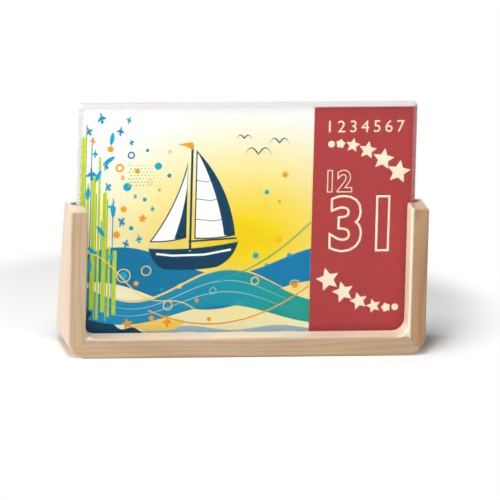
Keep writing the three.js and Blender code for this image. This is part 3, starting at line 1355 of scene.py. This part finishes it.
def printReeds():
    look = reedLook
    ripple, length = look["moundRipple"]

    def moundTop(u):
        hump = look["moundHeight"] * math.exp(-((u / look["moundReach"]) ** 2))
        return look["moundLevel"] + hump + ripple * math.sin(u / length)

    mound = bandOutline(moundTop, lambda u: look["moundFoot"], 0, look["moundRight"])
    stalks = {"lime": [], "olive": [], "teal": []}
    for i in range(look["stalks"]):
        u, half = look["stalkLeft"] + look["stalkPitch"] * i, look["stalkWidths"][i % 4] / 2
        swing, pace = look["stalkSwing"]
        top = look["stalkTop"] - look["stalkFall"] * i + swing * math.sin(pace * i)
        swing, pace = look["footSwing"]
        foot = look["footLevel"] + swing * math.cos(pace * i)
        stalk = roundedOutline(u - half, foot, u + half, top, 2 * half * look["stalkRound"])
        stalks[look["stalkInks"][i % 4]].append(stalk)

    leaves = []
    for i in range(look["leaves"]):
        u = look["leafLeft"] + look["leafPitch"] * i
        # steps of five put neighbours far apart in height
        v = look["leafLow"] + look["leafRise"] * ((i * 5) % look["leaves"])
        lean = math.radians(look["leafLean"][0] + look["leafLean"][1] * math.sin(i))
        side = 1 if i % 2 else -1
        tipU = u + side * look["leafLength"] * math.cos(lean)
        tipV = v + look["leafLength"] * math.sin(lean)
        if tipU > look["leafMargin"]:
            out, back = look["leafBows"]
            leaves.append(bowedOutline([(u, v, out), (tipU, tipV, back)], look["leafSteps"]))

    rows = [(5, "navy", [mound])]
    rows += [(6, kind, outlines) for kind, outlines in stalks.items()]
    rows.append((7, "aqua", leaves))
    printOnCover("cover_reeds", rows)


# Dots as (u, v, radius), rings as (u, v, radius, line) and small stars as (u, v, radius, lean)
bubbleLook = {
    "dots": {
        "aqua": (
            (31, 96, 2.6), (42, 88, 1.3), (34, 70, 1.4), (118, 92, 1.5), (112, 52, 1.9),
            (119, 46, 1.1), (30, 40, 2.4), (103, 22, 1.7), (43, 119, 1.1), (50, 109, 2.3),
            (22, 52, 1.7), (54, 31, 1.2), (92, 36, 1.3), (133, 52, 1.5),
        ),
        "orange": (
            (37, 106, 1.6), (29, 82, 1.9), (126, 86, 1.0), (137, 33, 1.9), (38, 35, 1.5),
            (76, 24, 1.2), (48, 13, 1.6), (20, 120, 1.9), (25, 66, 2.1), (51, 94, 1.0),
            (84, 12, 1.3),
        ),
        "yellow": ((65, 33, 1.4), (57, 118, 1.2)),
        "teal": ((57, 103, 1.3),),
    },
    "rings": {
        "blue": ((33, 116, 2.3, 0.9),),
        "orange": ((26, 108, 2.7, 1.2), (126, 62, 1.9, 0.8)),
        "yellow": (
            (45, 99, 1.8, 0.6), (30, 40, 4.4, 0.6), (44, 43, 3.2, 0.6), (137, 33, 3.5, 0.6),
            (112, 36, 2.6, 0.6), (58, 21, 3.0, 0.6),
        ),
        "mist": ((86, 30, 2.2, 0.5),),
    },
    "stars": ((41, 76, 3.1, 8), (33, 9.5, 3.6, -12), (129, 103, 2.6, 20)),
}


def printBubbles():
    look = bubbleLook
    shapes = {kind: [circleOutline(*dot) for dot in dots] for kind, dots in look["dots"].items()}
    for kind, rings in look["rings"].items():
        for u, v, radius, line in rings:
            shapes.setdefault(kind, []).append(circleOutline(u, v, radius))
            shapes[kind].append(circleOutline(u, v, radius - line))
    shapes["orange"] += [starOutline(*star) for star in look["stars"]]
    printOnCover("cover_bubbles", [(7, kind, outlines) for kind, outlines in shapes.items()])


# Uneven blots as (u, v, radius, turn), a printer's screen of dots that get smaller, and a patch of sand
splashLook = {
    "blots": {
        "teal": (
            (14, 139, 1.8, 0.4), (26, 131, 1.5, 2.1), (8.5, 104, 2.1, 1.2), (28, 74, 1.7, 4.0),
            (6.5, 131, 1.5, 5.5), (33, 124, 1.1, 0.2), (17.5, 109, 1.4, 3.7), (31, 60, 1.5, 2.9),
        ),
        "aqua": (
            (31, 138, 1.2, 3.3), (19, 96, 1.6, 5.1), (39, 63, 1.4, 0.9), (22, 83, 1.9, 2.6),
            (10.5, 117, 1.3, 1.9), (36, 90, 0.9, 4.4), (47, 82, 1.0, 0.6),
        ),
        "orange": ((58, 10.5, 1.9, 1.7), (9, 125, 1.2, 2.4), (28, 102, 0.9, 5.0)),
    },
    "blotSteps": 40,
    "blotArms": ((0.42, 4, 1), (0.25, 7, 2.3)),
    "blotHeight": 1.4,
    "screen": (32, 97),
    "screenRows": 7,
    "screenColumns": 12,
    "screenPitch": (2.2, 2.1),
    "screenDot": 0.6,
    "screenShrink": (0.034, 0.02),
    "sandMiddle": (51, 9.5),
    "sandReach": (17, 4.6),
    "sandRipple": (1.5, 5),
}


def splashOutline(u, v, radius, turn):
    # a blot with four wide arms and seven narrow ones
    look, outline = splashLook, []
    (wide, few, slow), (narrow, many, fast) = look["blotArms"]
    for i in range(look["blotSteps"]):
        angle = 2 * math.pi * i / look["blotSteps"]
        arms = wide * math.sin(few * angle + slow * turn)
        arms += narrow * math.sin(many * angle + fast * turn)
        reach = radius * (1 + arms)
        outline.append((u + reach * math.cos(angle), v + look["blotHeight"] * reach * math.sin(angle)))
    return outline


def printSplashes():
    look = splashLook
    rows = []
    for kind, blots in look["blots"].items():
        rows.append((9, kind, [splashOutline(*blot) for blot in blots]))
    (left, low), (pitchU, pitchV) = look["screen"], look["screenPitch"]
    shrinkU, shrinkV = look["screenShrink"]
    dots = []
    for row in range(look["screenRows"]):
        for column in range(look["screenColumns"]):
            radius = look["screenDot"] - shrinkU * column - shrinkV * row
            # every other row is set half a step aside
            u = left + pitchU * (column + 0.5 * (row % 2))
            dots.append(circleOutline(u, low + pitchV * row, radius, 8))
    rows.append((9, "olive", dots))
    (u, v), (reachU, reachV) = look["sandMiddle"], look["sandReach"]
    ripple, waves = look["sandRipple"]
    sand = [
        (u + reachU * math.cos(a) + ripple * math.sin(waves * a), v + reachV * math.sin(a))
        for a in spread(0, 6.2, 48)
    ]
    rows.append((2, "yellow", [sand]))
    printOnCover("cover_splashes", rows)


# Lines and gulls: a rope that rises to the right, the line of the beach, a curl of wind on the left,
# and gulls as (u, v, span)
lineLook = {
    "rope": {"left": 88, "foot": 38, "rise": 36, "reach": 59, "bend": 1.7, "line": 0.7, "steps": 24},
    "beach": {"left": 46, "foot": 9, "middle": 84, "bend": 0.0062, "line": 0.8, "steps": 30},
    "curl": {
        "left": 2,
        "right": 74,
        "top": 55,
        "fall": 0.55,
        "swing": 5,
        "length": 9,
        "line": 0.6,
        "steps": 30,
    },
    "edgeGap": 0.5,
    "gulls": ((112, 116, 9), (125, 123, 6.5), (103, 126, 5)),
    "wingRise": 0.5,
    "wingDroop": 0.1,
    "wingLine": 0.8,
    "wingSteps": 20,
}


def printLines():
    look = lineLook
    rope, beach, curl = look["rope"], look["beach"], look["curl"]
    edge = pictureWidth() - look["edgeGap"]

    def ropeHeight(u):
        return rope["foot"] + rope["rise"] * ((u - rope["left"]) / rope["reach"]) ** rope["bend"]

    def beachHeight(u):
        return beach["foot"] + beach["bend"] * (u - beach["middle"]) ** 2

    def curlHeight(u):
        return curl["top"] - curl["fall"] * u + curl["swing"] * math.sin(u / curl["length"])

    def wingPlace(u, v, span, t):
        rise = look["wingRise"] * math.sin(math.pi * abs(t)) - look["wingDroop"] * abs(t)
        return (u + span * t, v + span * rise)

    gulls = []
    for u, v, span in look["gulls"]:
        wings = [wingPlace(u, v, span, t) for t in spread(-1, 1, look["wingSteps"])]
        gulls += strokeOutline(wings, look["wingLine"], taper=True)
    rows = []
    for layer, kind, line, right, height in (
        (7, "pine", rope, edge, ropeHeight),
        (8, "orange", beach, edge, beachHeight),
        (8, "yellow", curl, curl["right"], curlHeight),
    ):
        path = curvePath(spread(line["left"], right, line["steps"]), height)
        rows.append((layer, kind, strokeOutline(path, line["line"])))
    rows.append((7, "navy", gulls))
    printOnCover("cover_lines", rows)


sunsetBoard = makeBoard("coated board with a sunset print", glowColour)
buildCard("cover_board", "cover_card", sunsetBoard)
printPanel()
printSea()
printBoat()
printReeds()
printBubbles()
printSplashes()
printLines()
print("the cover is printed")


# Month cards: a tinted panel with the month's number, and the days as plain numbers in seven columns
# under short marks. A two-digit month is set smaller, to fit the panel.
monthLook = {
    "panelWidth": 58,
    "tints": ("#2C7F9E", "#7FA32E", "#E09A2B", "#B04347"),
    "monthsToTint": 3,
    "monthSizes": (42, 31),
    "monthHeight": 0.62,
    "gridLeft": 74,
    "columnPitch": 20.5,
    "gridTop": 112,
    "rowPitch": 17.5,
    "daySize": 6.2,
    "markWidth": 12,
    "markHeight": 2.4,
    "markRound": 1,
    "markGap": 14,
    "days": (31, 28, 31, 30, 31, 30, 31, 31, 30, 31, 30, 31),
    "firstColumn": 4,
}


def printMonth(month, node, tint, templates):
    look = monthLook
    low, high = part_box(node)
    height = (high.z - low.z) / mm
    tinted = [roundedOutline(0, 0, look["panelWidth"], height, cardLook["corner"])]
    for column in range(7):
        u = look["gridLeft"] + column * look["columnPitch"] - look["markWidth"] / 2
        v = look["gridTop"] + look["markGap"]
        tinted.append(
            roundedOutline(u, v, u + look["markWidth"], v + look["markHeight"], look["markRound"])
        )
    films = [printShapes(node, 1, tint, tinted)]
    u, v = look["panelWidth"] / 2, height * look["monthHeight"]
    size = look["monthSizes"][len(str(month)) - 1]
    films.append(printNumber(node, 2, inks["cream"], str(month), u, v, size))
    start = (look["firstColumn"] + sum(look["days"][: month - 1])) % 7
    for day, template in enumerate(templates[: look["days"][month - 1]], start):
        column, row = day % 7, day // 7
        film = template.copy()
        film.data = template.data.copy()
        scene.collection.objects.link(film)
        u = look["gridLeft"] + column * look["columnPitch"]
        v = look["gridTop"] - row * look["rowPitch"]
        film.data.transform(Matrix.Translation((u * mm, v * mm, 0)))
        placeOnCard(film, node, 1)
        films.append(film)
    finishPrint(node.replace("card", "print"), node, films)


def dayTemplates():
    # each day's number is made once, and every card gets copies
    templates = []
    for day in range(max(monthLook["days"])):
        film = numberFilm(str(day + 1), monthLook["daySize"], 2)
        coverWith(film, inks["grey"])
        templates.append(film)
    return templates


def buildMonths():
    look = monthLook
    board = makeBoard("coated board, white")
    tints = [makeInk(f"offset ink, season {i + 1}", colour) for i, colour in enumerate(look["tints"])]
    templates = dayTemplates()
    months = sorted(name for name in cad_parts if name.startswith("month_card"))
    for month, node in enumerate(months, 1):
        buildCard(node.replace("card", "board"), node, board)
        printMonth(month, node, tints[(month - 1) // look["monthsToTint"]], templates)
    for template in templates:
        bpy.data.objects.remove(template)


buildMonths()
print("the month cards are printed")


# Dowels: turned beech, glued in and hidden in the corners, so they keep the CAD's own shape
dowelWood = {"grain": "x", "shift": (5, 6, 2), "tone": 0.7, "colour": "pale"}


def dressDowels():
    for node in (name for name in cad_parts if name.endswith("dowel")):
        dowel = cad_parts[node]
        coverWith(dowel, makeBeech("beech, " + node.replace("_", " "), **dowelWood))


dressDowels()
print("the dowels are dressed")
